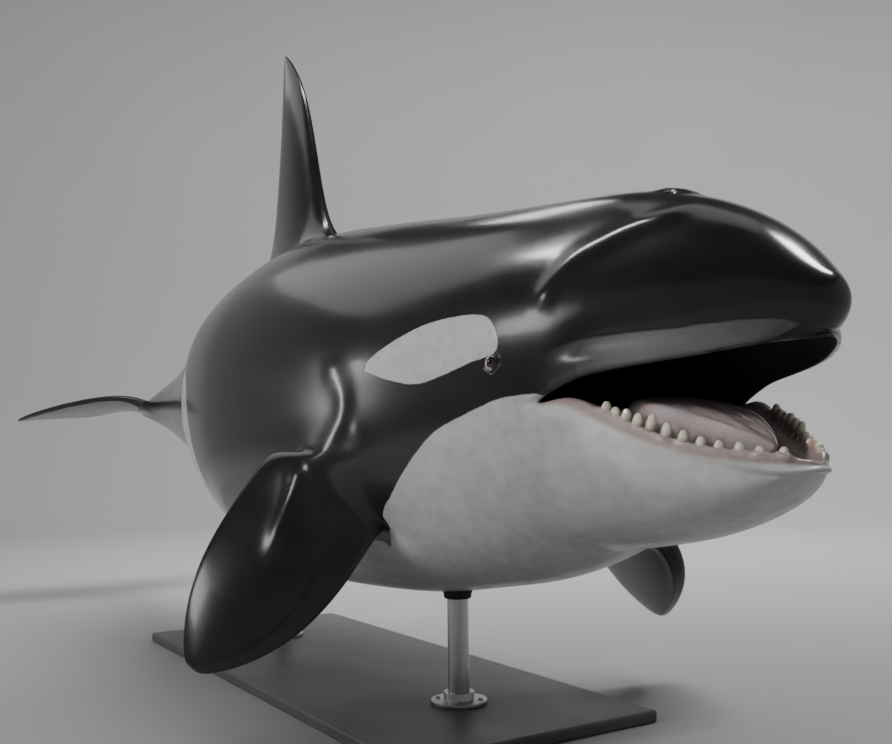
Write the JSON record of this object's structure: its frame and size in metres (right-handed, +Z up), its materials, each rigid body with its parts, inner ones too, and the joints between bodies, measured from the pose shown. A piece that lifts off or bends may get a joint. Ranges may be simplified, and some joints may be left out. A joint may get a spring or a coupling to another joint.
{
  "type": "life-size killer whale model on a display stand",
  "caption": "Life-size killer whale with its mouth open, held level on a plain flat stand by short upright rods.",
  "frame": {"origin": "middle of the stand base's underside, on the floor", "axes": "+X towards the snout, +Y to the animal's left, +Z up"},
  "size_m": [5.4676, 1.8528, 2.776],
  "materials": {
    "black_skin": "glossy near-black skin, finely grained",
    "white_skin": "smooth satin white skin",
    "mouth": "moist muted pink-grey tongue and gums",
    "eye": "wet polished dark brown",
    "stand_base": "satin dark grey paint",
    "stand_rod": "brushed"
  },
  "bodies": {
    "root": {"head": "black_skin", "lower_jaw": "white_skin", "trunk": "black_skin", "tail_stock": "black_skin", "fluke_left": "black_skin", "fluke_right": "black_skin", "dorsal_fin": "black_skin", "flipper_left": "black_skin", "flipper_right": "black_skin", "tongue": "mouth", "eye_left": "eye", "eye_right": "eye", "stand_base": "stand_base", "stand_rod_front": "stand_rod", "stand_rod_rear": "stand_rod"}
  },
  "joints": []
}
